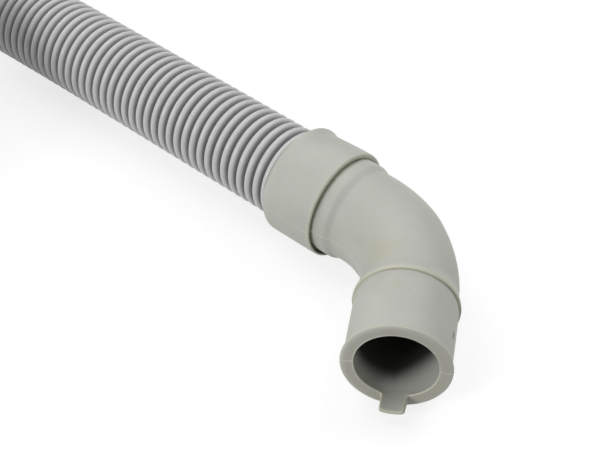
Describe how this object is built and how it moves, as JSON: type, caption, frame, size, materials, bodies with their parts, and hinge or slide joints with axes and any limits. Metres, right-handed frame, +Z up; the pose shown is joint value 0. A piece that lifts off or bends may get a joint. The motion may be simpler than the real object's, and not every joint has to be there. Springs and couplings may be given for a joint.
{
  "type": "dishwasher drain hose",
  "caption": "Corrugated drain hose with a moulded rubber elbow on one end and a straight moulded sleeve on the other, its spare length wound in a tied coil.",
  "frame": {"origin": "on the surface that the hose lies on, under the middle of the elbow's own box", "axes": "+Z up, at right angles to the elbow's level parting plane; the elbow's mouth looks along -Y, and the hose leaves its cuff at a slant towards -X and +Y"},
  "size_m": [0.4342, 0.2806, 0.0567],
  "materials": {
    "moulded_rubber": "matte grey-green moulded rubber",
    "corrugated_plastic": "light grey blow-moulded polypropylene, half gloss",
    "tie_plastic": "natural nylon"
  },
  "bodies": {
    "root": {"elbow_end": "moulded_rubber", "drain_hose": "corrugated_plastic", "hose_coil": "corrugated_plastic", "hose_upper_turn": "corrugated_plastic", "straight_end": "moulded_rubber", "coil_tie": "tie_plastic"}
  },
  "joints": []
}
